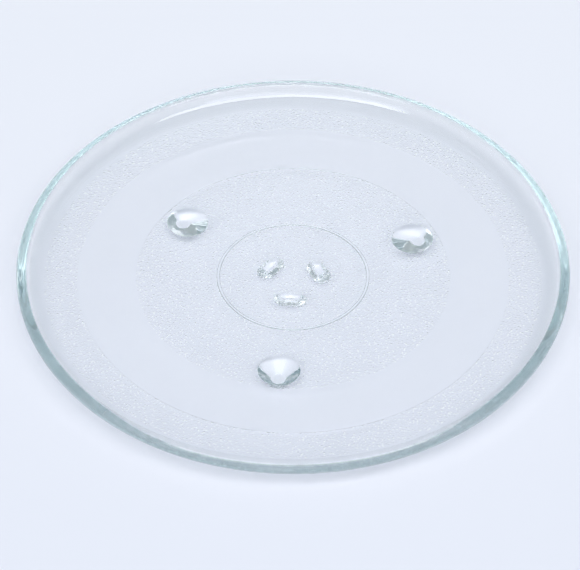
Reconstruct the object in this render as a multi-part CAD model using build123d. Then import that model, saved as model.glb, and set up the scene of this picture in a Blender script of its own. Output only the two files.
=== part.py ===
from build123d import *

import math
import os

# Pressed glass turntable tray of a microwave oven, one piece of glass.
# Millimetres, +Z up. The origin is on the axis of rotation, in the plane of the
# guide boss ends, which is where the tray stands when it lies on a table.

# The round tray and its rim
TRAY_DIAMETER = 245.0
BASE_THICKNESS = 5.0
RIM_HEIGHT = 10.9
RIM_THICKNESS = 5.2
RIM_FLARE = 14.0
RIM_STRAIGHT = 0.6
LIP_FLATS = 10

# Zones of the underside: stippled disc, smooth roller track, stippled outer band
TRACK_WIDTH = 25.0
OUTER_BAND_WIDTH = 18.2
TRACK_RISE = 0.2
STEP_WIDTH = 0.5
RING_RADIUS = 33.2
RING_WIDTH = 1.4
RING_CREST_WIDTH = 0.5
RING_RISE = 0.4

# Guide bosses, which keep the roller ring on its track
BOSS_COUNT = 3
BOSS_FIRST_ANGLE = 24.0
BOSS_HEIGHT = 5.2
BOSS_BASE_DIAMETER = 18.6
BOSS_END_DIAMETER = 6.2
BOSS_END_OFFSET = 2.9
BOSS_TRACK_GAP = 2.4
BOSS_ROUND = 0.9

# Drive lugs, which the motor coupler turns
LUG_CIRCLE_RADIUS = 12.4
LUG_LENGTH = 14.2
LUG_WIDTH = 8.0
LUG_HEIGHT = 4.4
LUG_CORNER = 2.6
LUG_DRAFT = 22.0
LUG_BEVEL = 0.5

# Heights
track_z = BOSS_HEIGHT
under_z = track_z + TRACK_RISE
top_z = track_z + BASE_THICKNESS
crest_z = track_z + RIM_HEIGHT
lug_end_z = track_z - LUG_HEIGHT

# Rim: a wall that leans outwards, with a round lip, between two tangent bends
tray_radius = TRAY_DIAMETER / 2
lip_radius = RIM_THICKNESS / 2
lean = math.sin(math.radians(RIM_FLARE))
rise = math.cos(math.radians(RIM_FLARE))
lip_r = tray_radius - lip_radius
lip_z = crest_z - lip_radius
inner_bend = (lip_z + lip_radius * lean - top_z - RIM_STRAIGHT * rise) / (1 - lean)
outer_bend = (lip_z - lip_radius * lean - under_z - RIM_STRAIGHT * rise) / (1 - lean)
inner_foot_r = lip_r + ((top_z + inner_bend - lip_z) * lean - lip_radius - inner_bend) / rise
outer_foot_r = lip_r + ((under_z + outer_bend - lip_z) * lean + lip_radius - outer_bend) / rise

# Zone radii of the underside and the circles that the bosses stand on
track_outer_r = outer_foot_r - OUTER_BAND_WIDTH
track_inner_r = track_outer_r - TRACK_WIDTH
boss_circle_radius = track_inner_r - BOSS_TRACK_GAP - BOSS_BASE_DIAMETER / 2
station_angles = [BOSS_FIRST_ANGLE + 360 * index / BOSS_COUNT for index in range(BOSS_COUNT)]

# The lip's half round is laid out in short flats, within 0.05 mm of a true round, to keep the part light
lip_angles = [180 * flat / LIP_FLATS - RIM_FLARE for flat in range(LIP_FLATS + 1)]


def on_round(centre_r, centre_z, radius, angle):
    """Place in the section at an angle, in degrees from level, on a round about a centre."""
    turn = math.radians(angle)
    return (centre_r + radius * math.cos(turn), centre_z + radius * math.sin(turn))


def bend(foot_r, foot_z, radius):
    """Arc that turns a level face up into the leaning wall."""
    angles = (-90, -45 - RIM_FLARE / 2, -RIM_FLARE)
    return ThreePointArc(*[on_round(foot_r, foot_z + radius, radius, angle) for angle in angles])


def tray_profile():
    """Half section of the round tray, from the axis out along the underside and back on top."""
    outer_curve = bend(outer_foot_r, under_z, outer_bend)
    inner_curve = bend(inner_foot_r, top_z, inner_bend)
    underside = Polyline(
        (0, under_z),
        (RING_RADIUS - RING_WIDTH / 2, under_z),
        (RING_RADIUS - RING_CREST_WIDTH / 2, under_z - RING_RISE),
        (RING_RADIUS + RING_CREST_WIDTH / 2, under_z - RING_RISE),
        (RING_RADIUS + RING_WIDTH / 2, under_z),
        (track_inner_r - STEP_WIDTH, under_z),
        (track_inner_r, track_z),
        (track_outer_r, track_z),
        (track_outer_r + STEP_WIDTH, under_z),
        outer_curve @ 0,
    )
    lip = [on_round(lip_r, lip_z, lip_radius, angle) for angle in lip_angles]
    walls_and_lip = Polyline(outer_curve @ 1, *lip, inner_curve @ 1)
    top_and_axis = Polyline(inner_curve @ 0, (0, top_z), (0, under_z))
    return make_face(Curve() + [underside, outer_curve, walls_and_lip, inner_curve, top_and_axis])


def guide_boss():
    """Leaning cone with a small flat end, set towards the track so that its outer wall is steep."""
    base = Pos(0, 0, under_z) * Circle(BOSS_BASE_DIAMETER / 2)
    end = Pos(BOSS_END_OFFSET, 0, 0) * Circle(BOSS_END_DIAMETER / 2)
    boss = loft([base, end], ruled=True)
    end_edge = boss.edges().group_by(Axis.Z)[0]
    return fillet(end_edge, BOSS_ROUND)


def drive_lug():
    """Drafted bar across the radius, eight-sided in plan, with a bevelled end edge."""
    bar = Rectangle(LUG_WIDTH, LUG_LENGTH)
    root = Plane((0, 0, under_z), z_dir=(0, 0, -1)) * chamfer(bar.vertices(), LUG_CORNER)
    lug = extrude(root, under_z - lug_end_z, taper=LUG_DRAFT)
    end_edges = lug.edges().group_by(Axis.Z)[0]
    return chamfer(end_edges, LUG_BEVEL)


def glass_tray():
    """The whole tray: the round dish with its bosses and lugs grown out of the underside."""
    tray = revolve(Plane.XZ * tray_profile(), Axis.Z)
    boss = Pos(boss_circle_radius, 0, 0) * guide_boss()
    lug = Pos(LUG_CIRCLE_RADIUS, 0, 0) * drive_lug()
    for angle in station_angles:
        tray += Rot(0, 0, angle) * boss
        tray += Rot(0, 0, angle) * lug
    return tray


os.makedirs("parts", exist_ok=True)
export_step(glass_tray(), "parts/glass_tray.step")
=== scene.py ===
import math

import bpy
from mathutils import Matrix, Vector


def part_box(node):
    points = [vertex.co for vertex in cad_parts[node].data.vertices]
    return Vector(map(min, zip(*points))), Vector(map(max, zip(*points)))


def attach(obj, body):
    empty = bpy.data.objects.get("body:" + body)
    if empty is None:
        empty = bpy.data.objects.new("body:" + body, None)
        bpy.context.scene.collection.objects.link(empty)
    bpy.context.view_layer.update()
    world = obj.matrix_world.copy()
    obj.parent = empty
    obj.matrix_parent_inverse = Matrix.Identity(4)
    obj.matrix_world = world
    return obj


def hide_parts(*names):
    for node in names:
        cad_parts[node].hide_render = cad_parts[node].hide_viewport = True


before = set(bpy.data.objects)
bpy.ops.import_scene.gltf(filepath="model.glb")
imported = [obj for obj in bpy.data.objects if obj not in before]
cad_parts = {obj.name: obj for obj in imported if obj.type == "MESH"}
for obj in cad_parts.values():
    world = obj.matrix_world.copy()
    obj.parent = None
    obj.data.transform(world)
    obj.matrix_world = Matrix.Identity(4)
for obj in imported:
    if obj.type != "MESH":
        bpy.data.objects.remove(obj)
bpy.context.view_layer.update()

# Sizes are in metres. The tray's reach and height come from the frame, the others repeat the part's own.
MM = 0.001
tray_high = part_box("glass_tray")[1]
TRAY_RADIUS = tray_high[0]
CREST_Z = tray_high[2]
BASE_THICKNESS = 5.0 * MM
LIP_RADIUS = 2.6 * MM
RIM_FLARE = math.radians(14)
RIM_STRAIGHT = 0.6 * MM

# Zones of the underside: stippled disc with a ring line, smooth roller track, stippled outer band
TRACK_Z = 5.2 * MM
TRACK_RISE = 0.2 * MM
TRACK_INNER = 70.26 * MM
TRACK_OUTER = 95.26 * MM
STEP_WIDTH = 0.5 * MM
RING_RADIUS = 33.2 * MM
RING_HALF_WIDTH = 0.7 * MM
RING_RISE = 0.4 * MM
UNDER_Z = TRACK_Z + TRACK_RISE
TOP_Z = TRACK_Z + BASE_THICKNESS

# Guide bosses and drive lugs, three of each at the same angles round the axis
STATION_ANGLES = [math.radians(angle) for angle in (24, 144, 264)]
BOSS_CIRCLE = 58.56 * MM
BOSS_BASE_RADIUS = 9.3 * MM
BOSS_END_RADIUS = 3.1 * MM
BOSS_END_OFFSET = 2.9 * MM
BOSS_ROUND = 0.9 * MM
LUG_CIRCLE = 12.4 * MM
LUG_WIDTH = 8.0 * MM
LUG_LENGTH = 14.2 * MM
LUG_END_Z = 0.8 * MM
LUG_CORNER = 2.6 * MM
LUG_DRAFT = math.radians(22)
LUG_ROUND = 0.5 * MM
ROOT_DEPTH = 1.0 * MM

# Stipple pressed into the underside: height, grain, and the plain margins round the zones, bosses and lugs.
# This grain is about as fine as the mesh can carry, and the glass material adds a finer one.
STIPPLE_HEIGHT = 0.06 * MM
STIPPLE_GRAIN = 2.4 * MM
STIPPLE_FADE = 1.6 * MM
STIPPLE_START = LUG_CIRCLE / 2
STIPPLE_END = 110.5 * MM
BOSS_MARGIN = 0.8 * MM
LUG_MARGIN = 8.5 * MM
STIPPLE_PITCH = 0.9 * MM

# Points of the mesh: how far from an edge of the section its support stands, and the steps of what is round
SUPPORT = 0.3 * MM
TURN_STEPS = 512
BEND_STEPS = 12
LIP_STEPS = 18
RING_ANGLES = [math.radians(angle) for angle in (-60, -30, 0, 30, 60)]
BOSS_SIDES = 96
BOSS_ROUND_STEPS = 5
LUG_ROUND_STEPS = 4

# A bevel of this profile is a true round, and edges that turn less than this angle are shaded smooth
TRUE_ROUND = 0.5
SMOOTH_ANGLE = math.radians(28)

# The boss's walls slope, so the bevel that rounds its end takes about this share of the radius from a face
BOSS_BEVEL_SHARE = 0.6

# How near is near enough: points that are one, points and faces on a level, slivers along a seam
SAME_POINT = 0.01 * MM
LEVEL_SLACK = 0.01 * MM
ROOT_SLACK = 0.1 * MM
LEVEL_FACE = 0.9
SEAM_MERGE = 0.03 * MM
SEAM_SLIVER = 0.01 * MM

# Sockets of a mix of two colours, which share their names with those of other mixes
MIX_FIRST = 6
MIX_SECOND = 7
MIX_RESULT = 2


def linear(hex_colour):
    """Linear colour of an sRGB hex value."""
    channels = [int(hex_colour[place:place + 2], 16) / 255 for place in (1, 3, 5)]
    return [c / 12.92 if c <= 0.04045 else ((c + 0.055) / 1.055) ** 2.4 for c in channels] + [1.0]


def add_node(tree, kind, settings=None, links=None):
    """One shader node with its settings and the sockets that feed it."""
    node = tree.nodes.new(kind)
    for name, value in (settings or {}).items():
        if hasattr(node, str(name)):
            setattr(node, name, value)
        else:
            node.inputs[name].default_value = value
    for name, socket in (links or {}).items():
        tree.links.new(socket, node.inputs[name])
    return node


def pick(piece):
    """Makes one piece the only selected and active one."""
    bpy.ops.object.select_all(action="DESELECT")
    bpy.context.view_layer.objects.active = piece
    piece.select_set(True)


def edit(piece):
    """Opens one piece for editing with everything in it selected."""
    pick(piece)
    bpy.ops.object.mode_set(mode="EDIT")
    bpy.ops.mesh.select_all(action="SELECT")


def leave_edit():
    """Closes the piece that is open for editing."""
    bpy.ops.object.mode_set(mode="OBJECT")


def edit_selected(piece, wanted, kind="polygons"):
    """Opens a piece with only the faces or edges selected that the test picks."""
    edit(piece)
    bpy.ops.mesh.select_all(action="DESELECT")
    leave_edit()
    for element in getattr(piece.data, kind):
        element.select = wanted(element)
    bpy.ops.object.mode_set(mode="EDIT")


def named(name):
    """Names the piece that was just added, puts its place into its mesh and returns it."""
    piece = bpy.context.object
    piece.name = name
    piece.data.name = name
    bpy.ops.object.transform_apply(location=True, rotation=True, scale=True)
    return piece


def arc(centre_r, centre_z, radius, start, end, steps):
    """Points of a round stretch of the section, with angles measured from straight down."""
    angles = [start + (end - start) * step / steps for step in range(steps + 1)]
    return [(centre_r + radius * math.sin(a), centre_z - radius * math.cos(a)) for a in angles]


def even(start, end, height):
    """Points along a level stretch of the underside, close enough together to carry the stipple."""
    count = max(1, round((end - start) / STIPPLE_PITCH))
    return [(start + (end - start) * step / count, height) for step in range(count + 1)]


def tray_section():
    """The tray's half section as radius and height, from the axis along the underside and back on top."""
    lean = math.sin(RIM_FLARE)
    rise = math.cos(RIM_FLARE)
    lip_r = TRAY_RADIUS - LIP_RADIUS
    lip_z = CREST_Z - LIP_RADIUS
    inner_bend = (lip_z + LIP_RADIUS * lean - TOP_Z - RIM_STRAIGHT * rise) / (1 - lean)
    outer_bend = (lip_z - LIP_RADIUS * lean - UNDER_Z - RIM_STRAIGHT * rise) / (1 - lean)
    inner_r = lip_r + ((TOP_Z + inner_bend - lip_z) * lean - LIP_RADIUS - inner_bend) / rise
    outer_r = lip_r + ((UNDER_Z + outer_bend - lip_z) * lean + LIP_RADIUS - outer_bend) / rise
    wall = math.pi / 2 - RIM_FLARE
    ring_in = RING_RADIUS - RING_HALF_WIDTH
    ring_out = RING_RADIUS + RING_HALF_WIDTH
    section = [(0.0, UNDER_Z)]
    section += even(STIPPLE_START, ring_in - SUPPORT, UNDER_Z)
    section.append((ring_in, UNDER_Z))
    section += [
        (RING_RADIUS + RING_HALF_WIDTH * math.sin(a), UNDER_Z - RING_RISE * math.cos(a)) for a in RING_ANGLES
    ]
    section.append((ring_out, UNDER_Z))
    section += even(ring_out + SUPPORT, TRACK_INNER - STEP_WIDTH - SUPPORT, UNDER_Z)
    section += [
        (TRACK_INNER - STEP_WIDTH, UNDER_Z),
        (TRACK_INNER, TRACK_Z),
        (TRACK_INNER + SUPPORT, TRACK_Z),
        (TRACK_OUTER - SUPPORT, TRACK_Z),
        (TRACK_OUTER, TRACK_Z),
        (TRACK_OUTER + STEP_WIDTH, UNDER_Z),
    ]
    section += even(TRACK_OUTER + STEP_WIDTH + SUPPORT, outer_r - SUPPORT, UNDER_Z)
    section += arc(outer_r, UNDER_Z + outer_bend, outer_bend, 0.0, wall, BEND_STEPS)
    section += arc(lip_r, lip_z, LIP_RADIUS, wall, wall + math.pi, LIP_STEPS)
    section += arc(inner_r, TOP_Z + inner_bend, inner_bend, wall, 0.0, BEND_STEPS)
    section += [(inner_r - SUPPORT, TOP_Z), (0.0, TOP_Z)]
    return section


def turn_tray():
    """Merges a small plane to one point, draws the section from it and turns that once round the axis."""
    section = tray_section()
    bpy.ops.object.select_all(action="DESELECT")
    bpy.ops.mesh.primitive_plane_add(size=MM, location=(section[0][0], 0, section[0][1]))
    tray = named("glass_tray_body")
    edit(tray)
    bpy.ops.mesh.merge(type="CENTER")
    for (r0, z0), (r1, z1) in zip(section, section[1:]):
        move = {"value": (r1 - r0, 0, z1 - z0)}
        bpy.ops.mesh.extrude_vertices_move(TRANSFORM_OT_translate=move)
    bpy.ops.mesh.select_all(action="SELECT")
    bpy.ops.mesh.spin(steps=TURN_STEPS, angle=2 * math.pi, center=(0, 0, 0), axis=(0, 0, 1))
    bpy.ops.mesh.select_all(action="SELECT")
    bpy.ops.mesh.remove_doubles(threshold=SAME_POINT)
    bpy.ops.mesh.normals_make_consistent(inside=False)
    leave_edit()
    return tray


def fade(distance, start):
    """0 up to the start and 1 beyond the fade, smooth between."""
    share = min(1.0, max(0.0, (distance - start) / STIPPLE_FADE))
    return share * share * (3 - 2 * share)


def stipple_share(place):
    """How strongly a point of the underside is stippled: the track, ring, bosses and lugs stay plain."""
    radius = math.hypot(place.x, place.y)
    if radius < TRACK_INNER:
        share = fade(abs(radius - RING_RADIUS), RING_HALF_WIDTH)
        share *= fade(TRACK_INNER - STEP_WIDTH - radius, 0)
    else:
        share = fade(radius - TRACK_OUTER - STEP_WIDTH, 0) * fade(STIPPLE_END - radius, 0)
    for angle in STATION_ANGLES:
        outward = Vector((math.cos(angle), math.sin(angle)))
        share *= fade((place.xy - BOSS_CIRCLE * outward).length, BOSS_BASE_RADIUS + BOSS_MARGIN)
        share *= fade((place.xy - LUG_CIRCLE * outward).length, LUG_MARGIN)
    return share


def press_stipple(tray):
    """Presses the random grain of the mould into the stippled zones of the underside."""
    group = tray.vertex_groups.new(name="stipple")
    for vertex in tray.data.vertices:
        level = abs(vertex.co.z - UNDER_Z) < LEVEL_SLACK
        if level:
            group.add([vertex.index], stipple_share(vertex.co), "REPLACE")
    grain = bpy.data.textures.new("stipple_grain", "CLOUDS")
    grain.noise_scale = STIPPLE_GRAIN
    grain.noise_depth = 1
    pick(tray)
    press = tray.modifiers.new("stipple", "DISPLACE")
    press.texture = grain
    press.texture_coords = "LOCAL"
    press.direction = "Z"
    press.strength = STIPPLE_HEIGHT
    press.vertex_group = group.name
    bpy.ops.object.modifier_apply(modifier=press.name)
    tray.vertex_groups.clear()


def raise_root(piece):
    """Draws the root face up into the base, so that the two solids share room to be joined."""
    edit_selected(piece, lambda face: face.normal.z > LEVEL_FACE and face.center.z > UNDER_Z - ROOT_SLACK)
    bpy.ops.mesh.extrude_region_move(TRANSFORM_OT_translate={"value": (0, 0, ROOT_DEPTH)})
    bpy.ops.mesh.select_all(action="SELECT")
    bpy.ops.mesh.normals_make_consistent(inside=False)
    leave_edit()


def guide_boss():
    """A round boss that leans outwards: circle, drawn down to its small end, with the end edge rounded."""
    bpy.ops.object.select_all(action="DESELECT")
    bpy.ops.mesh.primitive_circle_add(
        vertices=BOSS_SIDES, radius=BOSS_BASE_RADIUS, fill_type="NGON", location=(BOSS_CIRCLE, 0, UNDER_Z)
    )
    boss = named("guide_boss")
    edit(boss)
    bpy.ops.mesh.extrude_region_move(TRANSFORM_OT_translate={"value": (BOSS_END_OFFSET, 0, -UNDER_Z)})
    shrink = BOSS_END_RADIUS / BOSS_BASE_RADIUS
    end_middle = (BOSS_CIRCLE + BOSS_END_OFFSET, 0, 0)
    bpy.ops.transform.resize(value=(shrink, shrink, 1), center_override=end_middle)
    bpy.ops.mesh.region_to_loop()
    bpy.ops.mesh.bevel(offset=BOSS_ROUND * BOSS_BEVEL_SHARE, segments=BOSS_ROUND_STEPS, profile=TRUE_ROUND)
    bpy.ops.mesh.select_all(action="SELECT")
    bpy.ops.mesh.normals_make_consistent(inside=False)
    leave_edit()
    raise_root(boss)
    return boss


def drive_lug():
    """A bar across the radius with cut corners, drafted walls and a rounded end edge."""
    height = UNDER_Z - LUG_END_Z
    middle = (LUG_CIRCLE, 0, LUG_END_Z + height / 2)
    bpy.ops.object.select_all(action="DESELECT")
    bpy.ops.mesh.primitive_cube_add(size=1, location=middle)
    lug = named("drive_lug")
    edit(lug)
    bpy.ops.transform.resize(value=(LUG_WIDTH, LUG_LENGTH, height), center_override=middle)
    leave_edit()

    def upright(edge):
        """Tells the four upright edges of the bar from the level ones."""
        ends = [lug.data.vertices[index].co for index in edge.vertices]
        return abs(ends[0].z - ends[1].z) > height / 2

    edit_selected(lug, upright, "edges")
    bpy.ops.mesh.bevel(offset=LUG_CORNER, segments=1)
    leave_edit()
    edit_selected(lug, lambda face: face.normal.z < -LEVEL_FACE)
    taper = 2 * height * math.tan(LUG_DRAFT)
    end_scale = ((LUG_WIDTH - taper) / LUG_WIDTH, (LUG_LENGTH - taper) / LUG_LENGTH, 1)
    bpy.ops.transform.resize(value=end_scale, center_override=(LUG_CIRCLE, 0, LUG_END_Z))
    bpy.ops.mesh.region_to_loop()
    bpy.ops.mesh.bevel(offset=LUG_ROUND, segments=LUG_ROUND_STEPS, profile=TRUE_ROUND)
    leave_edit()
    raise_root(lug)
    return lug


def set_round(pieces):
    """Copies the boss and the lug to the three stations round the axis and joins the copies."""
    copies = []
    for piece in pieces:
        for angle in STATION_ANGLES:
            copy = piece.copy()
            copy.data = piece.data.copy()
            bpy.context.collection.objects.link(copy)
            pick(copy)
            copy.rotation_euler.z = angle
            bpy.ops.object.transform_apply(location=True, rotation=True, scale=True)
            copies.append(copy)
        bpy.data.objects.remove(piece)
    pick(copies[0])
    for copy in copies:
        copy.select_set(True)
    bpy.ops.object.join()
    return copies[0]


def fuse(body, grown):
    """Joins bosses and lugs to the tray as one skin, and merges the slivers left at the seams."""
    pick(body)
    union = body.modifiers.new("grown", "BOOLEAN")
    union.operation = "UNION"
    union.object = grown
    union.solver = "EXACT"
    bpy.ops.object.modifier_apply(modifier=union.name)
    bpy.data.objects.remove(grown)
    edit(body)
    bpy.ops.mesh.remove_doubles(threshold=SEAM_MERGE)
    bpy.ops.mesh.dissolve_degenerate(threshold=SEAM_SLIVER)
    bpy.ops.mesh.normals_make_consistent(inside=False)
    leave_edit()


# Glass: the fine grain of the stipple, the long waves of the pressed faces, and the tint per metre of glass
GRAIN_SIZE = 0.8 * MM
GRAIN_DEPTH = 0.2 * MM
GRAIN_LOW = 0.3
GRAIN_HIGH = 0.7
GRAIN_ROUGHNESS_LOW = 0.14
GRAIN_ROUGHNESS_HIGH = 0.28
WAVE_LENGTH = 22 * MM
WAVE_DEPTH = 0.06 * MM
STIPPLE_TOP_Z = UNDER_Z + 0.2 * MM
STIPPLE_LOW_Z = UNDER_Z - 0.15 * MM
GLASS_IOR = 1.52
GLASS_TINT = "#86bac1"
TINT_DENSITY = 4.0


def pressed_glass():
    """Clear pressed soda-lime glass, fire-polished: colourless through its thickness, sea green along it.

    The mould leaves a fine matt grain on the stippled zones and a faint waviness on the faces above them.
    """
    material = bpy.data.materials.new("pressed_soda_lime_glass")
    material.use_nodes = True
    tree = material.node_tree
    tree.nodes.clear()
    place = add_node(tree, "ShaderNodeTexCoord")
    grain = add_node(
        tree,
        "ShaderNodeTexNoise",
        {"Scale": 1 / GRAIN_SIZE, "Detail": 0.0},
        {"Vector": place.outputs["Object"]},
    )
    axes = add_node(tree, "ShaderNodeSeparateXYZ", links={"Vector": place.outputs["Object"]})
    flat = add_node(tree, "ShaderNodeCombineXYZ", links={"X": axes.outputs["X"], "Y": axes.outputs["Y"]})
    radius = add_node(tree, "ShaderNodeVectorMath", {"operation": "LENGTH"}, {0: flat.outputs["Vector"]})
    below = add_node(
        tree, "ShaderNodeMath", {"operation": "LESS_THAN", 1: STIPPLE_TOP_Z}, {0: axes.outputs["Z"]}
    )
    disc = add_node(
        tree,
        "ShaderNodeMath",
        {"operation": "LESS_THAN", 1: TRACK_INNER - STEP_WIDTH},
        {0: radius.outputs["Value"]},
    )
    band_middle = (TRACK_OUTER + STEP_WIDTH + STIPPLE_END) / 2
    band_half = (STIPPLE_END - TRACK_OUTER - STEP_WIDTH) / 2
    band = add_node(
        tree,
        "ShaderNodeMath",
        {"operation": "COMPARE", 1: band_middle, 2: band_half},
        {0: radius.outputs["Value"]},
    )
    zones = add_node(
        tree, "ShaderNodeMath", {"operation": "MAXIMUM"}, {0: disc.outputs[0], 1: band.outputs[0]}
    )
    level = add_node(
        tree, "ShaderNodeMath", {"operation": "GREATER_THAN", 1: STIPPLE_LOW_Z}, {0: axes.outputs["Z"]}
    )
    underside = add_node(
        tree, "ShaderNodeMath", {"operation": "MULTIPLY"}, {0: zones.outputs[0], 1: below.outputs[0]}
    )
    stippled = add_node(
        tree, "ShaderNodeMath", {"operation": "MULTIPLY"}, {0: underside.outputs[0], 1: level.outputs[0]}
    )
    wave = add_node(
        tree,
        "ShaderNodeTexNoise",
        {"Scale": 1 / WAVE_LENGTH, "Detail": 0.0},
        {"Vector": place.outputs["Object"]},
    )
    above = add_node(
        tree, "ShaderNodeMath", {"operation": "GREATER_THAN", 1: STIPPLE_TOP_Z}, {0: axes.outputs["Z"]}
    )
    waviness = add_node(
        tree,
        "ShaderNodeBump",
        {"Distance": WAVE_DEPTH},
        {"Height": wave.outputs["Fac"], "Strength": above.outputs[0]},
    )
    bump = add_node(
        tree,
        "ShaderNodeBump",
        {"Distance": GRAIN_DEPTH},
        {
            "Height": grain.outputs["Fac"],
            "Strength": stippled.outputs[0],
            "Normal": waviness.outputs["Normal"],
        },
    )
    matt = add_node(
        tree,
        "ShaderNodeMapRange",
        {
            "From Min": GRAIN_LOW,
            "From Max": GRAIN_HIGH,
            "To Min": GRAIN_ROUGHNESS_LOW,
            "To Max": GRAIN_ROUGHNESS_HIGH,
        },
        {"Value": grain.outputs["Fac"]},
    )
    roughness = add_node(
        tree, "ShaderNodeMath", {"operation": "MULTIPLY"}, {0: matt.outputs[0], 1: stippled.outputs[0]}
    )
    glass = add_node(
        tree,
        "ShaderNodeBsdfPrincipled",
        {"Base Color": linear("#ffffff"), "IOR": GLASS_IOR, "Transmission Weight": 1.0},
        {"Normal": bump.outputs["Normal"], "Roughness": roughness.outputs[0]},
    )
    tint = add_node(
        tree, "ShaderNodeVolumeAbsorption", {"Color": linear(GLASS_TINT), "Density": TINT_DENSITY}
    )
    add_node(
        tree,
        "ShaderNodeOutputMaterial",
        links={"Surface": glass.outputs[0], "Volume": tint.outputs[0]},
    )
    return material


tray = turn_tray()
press_stipple(tray)
fuse(tray, set_round([guide_boss(), drive_lug()]))
pick(tray)
bpy.ops.object.shade_smooth_by_angle(angle=SMOOTH_ANGLE)
tray.data.materials.clear()
tray.data.materials.append(pressed_glass())
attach(tray, "root")
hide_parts("glass_tray")

# Floor, a hair below the boss ends so that glass and paper stay two surfaces
FLOOR_GAP = 0.1 * MM
FLOOR_SIZE = 6
PAPER_NEAR_Y = -0.25
PAPER_FAR_Y = 0.3
# The near paper tone is painted shade: the paper is darkened towards the viewer as if the light fell off
# there
PAPER_NEAR_SHADED = "#dfdfe9"
PAPER_FAR = "#f3f1f8"
PAPER_ROUGHNESS = 0.9


def backdrop_paper():
    """Uncoated backdrop paper: matt and nearly white, with painted shade that makes it a little darker
    towards the viewer.
    """
    material = bpy.data.materials.new("matt_backdrop_paper")
    material.use_nodes = True
    tree = material.node_tree
    shader = tree.nodes["Principled BSDF"]
    place = add_node(tree, "ShaderNodeTexCoord")
    axes = add_node(tree, "ShaderNodeSeparateXYZ", links={"Vector": place.outputs["Object"]})
    # Painted shade: the paper's colour runs from the far tone to the darker near tone
    painted_shade_grading = add_node(
        tree,
        "ShaderNodeMapRange",
        {"From Min": PAPER_NEAR_Y, "From Max": PAPER_FAR_Y},
        {"Value": axes.outputs["Y"]},
    )
    shade = add_node(
        tree,
        "ShaderNodeMix",
        {"data_type": "RGBA", MIX_FIRST: linear(PAPER_NEAR_SHADED), MIX_SECOND: linear(PAPER_FAR)},
        {0: painted_shade_grading.outputs[0]},
    )
    tree.links.new(shade.outputs[MIX_RESULT], shader.inputs["Base Color"])
    shader.inputs["Roughness"].default_value = PAPER_ROUGHNESS
    return material


bpy.ops.object.select_all(action="DESELECT")
bpy.ops.mesh.primitive_plane_add(size=FLOOR_SIZE, location=(0, 0, -FLOOR_GAP))
floor = named("floor")
floor.data.materials.append(backdrop_paper())

# Room: tones from the horizon to straight above, a little darker along the middle than at the sides
HORIZON_TONE = "#b0bcc2"
WALL_TONES = ((0.4, "#b0bcc2"), (0.55, "#acbac0"), (0.7, "#95a3aa"), (0.84, "#b0bec4"))
CEILING_TONE = "#bec9cd"
MIDDLE_REACH = 0.25
MIDDLE_TONE = "#ececec"
SIDE_REACH = 0.5
SIDE_TONE = "#ffffff"
world = bpy.data.worlds.new("studio")
bpy.context.scene.world = world
world.use_nodes = True
room = world.node_tree
direction = add_node(room, "ShaderNodeTexCoord")
facing = add_node(room, "ShaderNodeSeparateXYZ", links={"Vector": direction.outputs["Generated"]})
heights = add_node(room, "ShaderNodeValToRGB", links={"Fac": facing.outputs["Z"]})
tones = heights.color_ramp.elements
tones[0].color = linear(HORIZON_TONE)
tones[1].color = linear(CEILING_TONE)
for height, tone in WALL_TONES:
    tones.new(height).color = linear(tone)
aside = add_node(room, "ShaderNodeMath", {"operation": "ABSOLUTE"}, {0: facing.outputs["X"]})
sides = add_node(room, "ShaderNodeValToRGB", links={"Fac": aside.outputs[0]})
middle_stop, side_stop = sides.color_ramp.elements
middle_stop.position = MIDDLE_REACH
middle_stop.color = linear(MIDDLE_TONE)
side_stop.position = SIDE_REACH
side_stop.color = linear(SIDE_TONE)
walls = add_node(
    room,
    "ShaderNodeMix",
    {"data_type": "RGBA", "blend_type": "MULTIPLY", 0: 1.0},
    {MIX_FIRST: heights.outputs["Color"], MIX_SECOND: sides.outputs["Color"]},
)
room.links.new(walls.outputs[MIX_RESULT], room.nodes["Background"].inputs["Color"])


def softbox(name, place, size, power):
    """A rectangular soft light that faces the tray's middle."""
    bpy.ops.object.select_all(action="DESELECT")
    bpy.ops.object.light_add(type="AREA", location=place)
    light = bpy.context.object
    light.name = name
    light.data.energy = power
    light.data.shape = "RECTANGLE"
    light.data.size, light.data.size_y = size
    light.rotation_euler = (-Vector(place)).to_track_quat("-Z", "Y").to_euler()


# Lights in front of the tray: a softbox high up, and a large dim panel like a pale wall
softbox("front_softbox", place=(0.12, -1.05, 2.15), size=(3.2, 0.85), power=35)
softbox("front_wall", place=(-0.3, -3.2, 2.56), size=(5.8, 2.4), power=71)

# Camera, at the height and scale of the photograph
ELEVATION = math.radians(44.6)
DISTANCE = 1.75
PIXELS_PER_METRE = 2257
IMAGE_WIDTH = 580
AIM = Vector((-1.36 * MM, -5.4 * MM, UNDER_Z + 1.95 * MM))
camera_data = bpy.data.cameras.new("camera")
camera = bpy.data.objects.new("camera", camera_data)
bpy.context.collection.objects.link(camera)
camera.location = AIM + DISTANCE * Vector((0, -math.cos(ELEVATION), math.sin(ELEVATION)))
camera.rotation_euler = (math.pi / 2 - ELEVATION, 0, 0)
camera_data.lens = camera_data.sensor_width * PIXELS_PER_METRE * DISTANCE / IMAGE_WIDTH
bpy.context.scene.camera = camera
bpy.context.scene.view_settings.view_transform = "Standard"

# Light crosses many faces of the glass before it leaves, so it may turn often, and its glints stay sharp
LIGHT_TURNS = 40
bpy.context.scene.cycles.blur_glossy = 0
bpy.context.scene.cycles.max_bounces = LIGHT_TURNS
bpy.context.scene.cycles.transmission_bounces = LIGHT_TURNS
bpy.context.scene.cycles.glossy_bounces = LIGHT_TURNS
